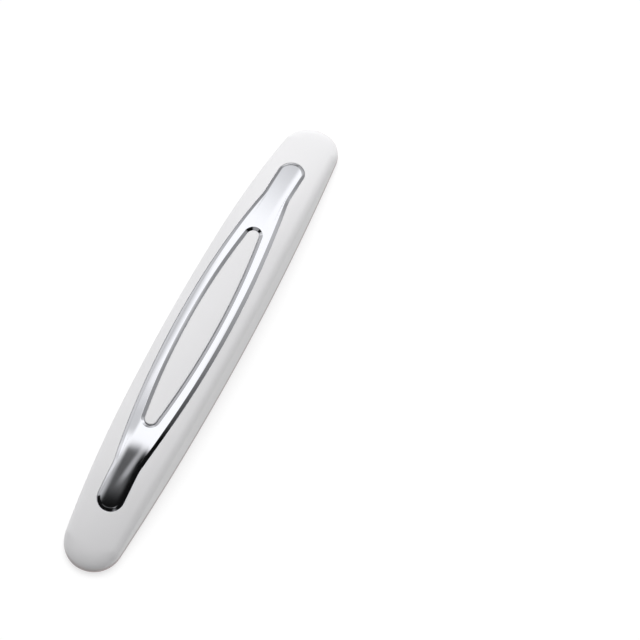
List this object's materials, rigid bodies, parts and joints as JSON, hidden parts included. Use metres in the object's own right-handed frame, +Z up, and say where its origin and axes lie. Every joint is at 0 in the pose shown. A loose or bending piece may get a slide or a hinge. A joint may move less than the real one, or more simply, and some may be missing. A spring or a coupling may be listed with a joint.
{
  "type": "car body side moulding",
  "caption": "Self-adhesive white moulding that protects a car's door or body side, with a bright inlaid trim.",
  "frame": {"origin": "middle of the underside, on the outer face of the liner", "axes": "+X along the strip, +Y across it, +Z up out of the crown"},
  "size_m": [0.2, 0.0296, 0.0185],
  "materials": {
    "white_body": "satin white soft moulded plastic",
    "bright_trim": "bright mirror plating",
    "foam_tape": "grey closed-cell foam",
    "red_liner": "thin red film"
  },
  "bodies": {
    "root": {"strip_body": "white_body", "chrome_trim": "bright_trim", "adhesive_tape": "foam_tape", "release_liner": "red_liner"}
  },
  "joints": []
}
